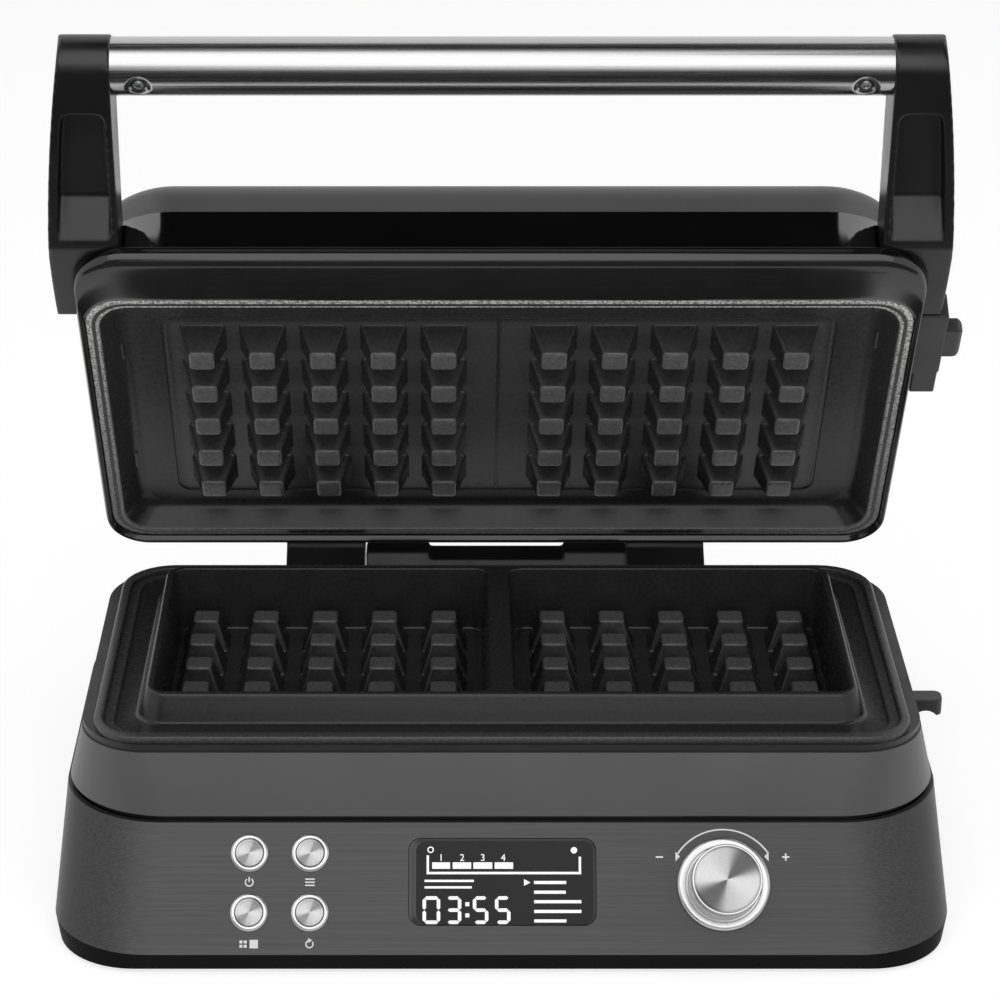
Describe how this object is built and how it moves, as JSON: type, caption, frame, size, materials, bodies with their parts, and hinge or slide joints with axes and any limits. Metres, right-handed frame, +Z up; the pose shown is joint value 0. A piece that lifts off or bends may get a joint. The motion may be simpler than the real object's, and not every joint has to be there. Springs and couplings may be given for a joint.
{
  "type": "waffle maker",
  "caption": "Countertop waffle maker with side-by-side beds, a hinged lid with a tube handle, plate latches, and a sloping panel with push buttons, a display window and a knob.",
  "frame": {"origin": "middle of the casing's foot in plan, at table height under the rubber feet; the underside of the tray is 1.5 mm above it", "axes": "+X to the user's right, +Y to the rear where the hinge is, +Z up"},
  "size_m": [0.3431, 0.2664, 0.3045],
  "materials": {
    "matte_black": "matte",
    "gloss_black": "glossy",
    "grey_paint": "satin grey paint on aluminium",
    "brushed_dark": "brushed, dark tinted",
    "nonstick": "black non-stick coating",
    "bright_steel": "brushed",
    "zinc_steel": "plated",
    "spun_metal": "spun",
    "hinge_metal": "black coated casting",
    "sheet_metal": "plain sheet",
    "heater_steel": "dull",
    "bronze": "plain",
    "circuit_board": "satin",
    "display_front": "clear dark",
    "plated_plastic": "satin chrome plating on plastic",
    "soft_rubber": "matte"
  },
  "bodies": {
    "base": {"base_tray": "matte_black", "rubber_feet": "soft_rubber", "base_screws": "zinc_steel", "lower_housing": "brushed_dark", "trim_ring": "gloss_black", "upper_housing": "grey_paint", "base_frame": "matte_black", "lower_plate": "nonstick", "lower_reflector": "sheet_metal", "lower_heater": "heater_steel", "lower_heater_clips": "sheet_metal", "lower_sensor": "zinc_steel", "thermal_cutout": "zinc_steel", "control_board": "circuit_board", "panel_carrier": "matte_black", "power_board": "circuit_board", "power_relays": "matte_black", "display_window": "display_front", "display_module": "matte_black", "button_rings": "spun_metal", "button_switches": "matte_black", "knob_ring": "plated_plastic", "encoder": "zinc_steel", "cord_gland": "soft_rubber", "hinge_tower": "hinge_metal", "tower_screws": "zinc_steel", "hinge_pins": "zinc_steel", "hinge_washers": "bronze"},
    "lid": {"lid_frame": "gloss_black", "lid_shell": "grey_paint", "lid_screws": "zinc_steel", "upper_plate": "nonstick", "upper_reflector": "sheet_metal", "upper_heater": "heater_steel", "upper_heater_clips": "sheet_metal", "upper_sensor": "zinc_steel", "hinge_arm_right": "hinge_metal", "hinge_arm_left": "hinge_metal", "hinge_bushes": "bronze", "hinge_arm_screws": "zinc_steel", "handle_arm_right": "matte_black", "handle_arm_left": "matte_black", "handle_tube": "bright_steel", "handle_screws": "zinc_steel", "latch_bracket": "matte_black", "side_screws": "zinc_steel"},
    "upper_latch": {"upper_latch": "matte_black"},
    "lower_latch": {"lower_latch": "matte_black"},
    "knob": {"knob_body": "plated_plastic", "knob_cap": "spun_metal", "encoder_shaft": "zinc_steel"},
    "button_upper_left": {"button_upper_left": "spun_metal"},
    "button_lower_left": {"button_lower_left": "spun_metal"},
    "button_upper_right": {"button_upper_right": "spun_metal"},
    "button_lower_right": {"button_lower_right": "spun_metal"}
  },
  "joints": [
    {"name": "lid_hinge", "type": "hinge", "parent": "base", "child": "lid", "pos_m": [0, 0.10425, 0.0378], "axis": [-1, 0, 0], "range_deg": [-58.7, 33]},
    {"name": "lower_latch_slide", "type": "slide", "parent": "base", "child": "lower_latch", "axis": [1, 0, 0], "range_m": [0, 0.004], "stiffness_N_per_m": 400, "springref_m": -0.003},
    {"name": "upper_latch_slide", "type": "slide", "parent": "lid", "child": "upper_latch", "axis": [1, 0, 0], "range_m": [0, 0.004], "stiffness_N_per_m": 400, "springref_m": -0.003},
    {"name": "button_upper_left_press", "type": "slide", "parent": "base", "child": "button_upper_left", "axis": [0, 0.8136, -0.5814], "range_m": [0, 0.0008], "stiffness_N_per_m": 1200, "springref_m": -0.0004},
    {"name": "button_lower_left_press", "type": "slide", "parent": "base", "child": "button_lower_left", "axis": [0, 0.8136, -0.5814], "range_m": [0, 0.0008], "stiffness_N_per_m": 1200, "springref_m": -0.0004},
    {"name": "button_upper_right_press", "type": "slide", "parent": "base", "child": "button_upper_right", "axis": [0, 0.8136, -0.5814], "range_m": [0, 0.0008], "stiffness_N_per_m": 1200, "springref_m": -0.0004},
    {"name": "button_lower_right_press", "type": "slide", "parent": "base", "child": "button_lower_right", "axis": [0, 0.8136, -0.5814], "range_m": [0, 0.0008], "stiffness_N_per_m": 1200, "springref_m": -0.0004},
    {"name": "knob_turn", "type": "hinge", "parent": "base", "child": "knob", "pos_m": [0.0786, -0.07934, 0.0287], "axis": [0, -0.8136, 0.5814], "range_deg": [-140, 140]}
  ]
}
